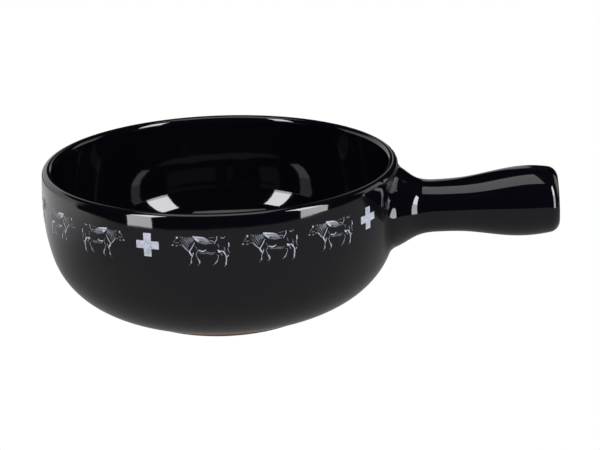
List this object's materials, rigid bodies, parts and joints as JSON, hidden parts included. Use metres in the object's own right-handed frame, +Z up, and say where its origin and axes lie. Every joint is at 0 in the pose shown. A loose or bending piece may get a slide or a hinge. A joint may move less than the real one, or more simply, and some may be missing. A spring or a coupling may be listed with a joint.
{
  "type": "fondue caquelon",
  "caption": "Round glazed stoneware fondue pot with a flared hollow side handle, rounded rim, unglazed foot ring and a band of fired cross and cow prints.",
  "frame": {"origin": "centre of the foot ring, on the plane the pot stands on", "axes": "+X from the pot's axis along the handle, +Z up out of the bowl's mouth"},
  "size_m": [0.3213, 0.2238, 0.0923],
  "materials": {
    "stoneware": "matt fired clay",
    "slip": "matt fired slip",
    "black_glaze": "high gloss fired glaze",
    "print_white": "fired white ceramic transfer"
  },
  "bodies": {
    "root": {"bowl": "stoneware", "cow_print_1": "print_white", "cow_print_10": "print_white", "cow_print_11": "print_white", "cow_print_12": "print_white", "cow_print_2": "print_white", "cow_print_3": "print_white", "cow_print_4": "print_white", "cow_print_5": "print_white", "cow_print_6": "print_white", "cow_print_7": "print_white", "cow_print_8": "print_white", "cow_print_9": "print_white", "cross_print_1": "print_white", "cross_print_2": "print_white", "cross_print_3": "print_white", "cross_print_4": "print_white", "cross_print_5": "print_white", "handle": "stoneware", "handle_glaze": "black_glaze", "handle_slip_joint": "slip", "inner_glaze": "black_glaze", "outer_glaze": "black_glaze"}
  },
  "joints": []
}
